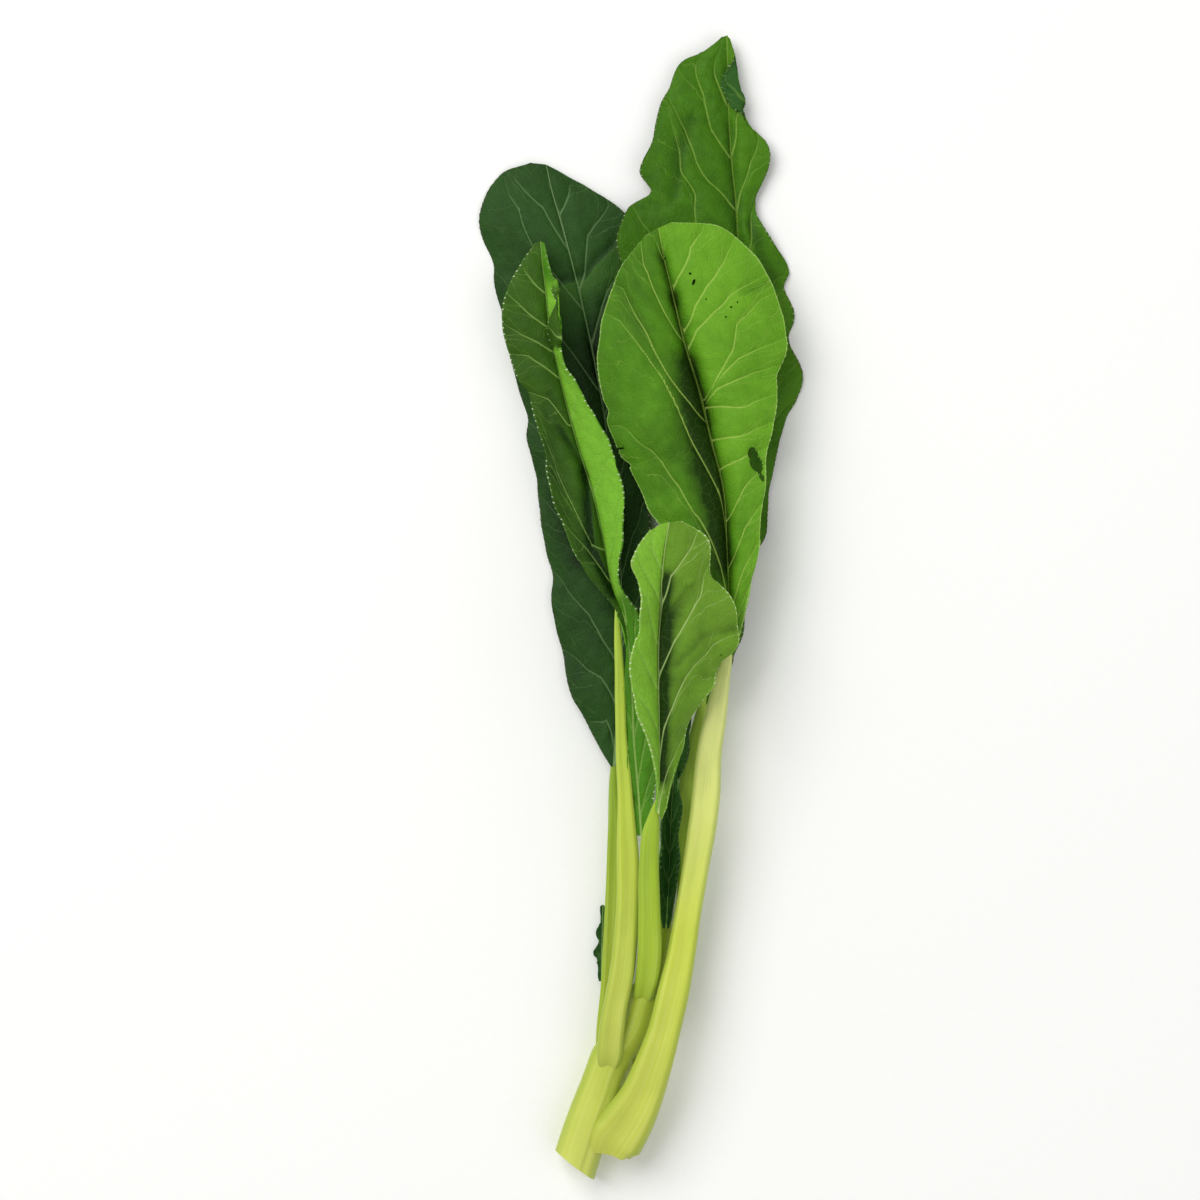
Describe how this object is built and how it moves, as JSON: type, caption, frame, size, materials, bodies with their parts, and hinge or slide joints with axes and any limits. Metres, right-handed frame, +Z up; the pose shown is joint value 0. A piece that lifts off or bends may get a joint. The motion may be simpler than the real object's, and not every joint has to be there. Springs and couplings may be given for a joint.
{
  "type": "choy sum",
  "caption": "One cut leafy green plant lying on its side, with a thick pale stem, fleshy leaf stalks, folded green leaves and a young shoot.",
  "frame": {"origin": "under the middle of the plant, on the surface that it lies on", "axes": "+Y from the cut end towards the leaf tips, +Z up from the surface, +X to the right of the plant seen from above"},
  "size_m": [0.094, 0.3337, 0.0369],
  "materials": {
    "stem": "smooth waxy skin, faintly ribbed",
    "stalk": "smooth waxy skin with fine lengthwise ribs",
    "leaf_dark": "satin leaf with pale veins",
    "leaf_mid": "satin leaf with pale veins",
    "leaf_light": "matt leaf with pale veins",
    "young_leaf": "satin young leaf"
  },
  "bodies": {
    "root": {"stem": "stem", "stalk_a": "stalk", "stalk_b": "stalk", "stalk_c": "stalk", "stalk_d": "stalk", "stalk_e": "stalk", "blade_a": "leaf_mid", "blade_b": "leaf_light", "blade_c": "leaf_light", "blade_d": "leaf_dark", "blade_e": "leaf_mid", "shoot_leaf_1": "young_leaf", "shoot_leaf_2": "young_leaf", "small_leaf": "young_leaf"}
  },
  "joints": []
}
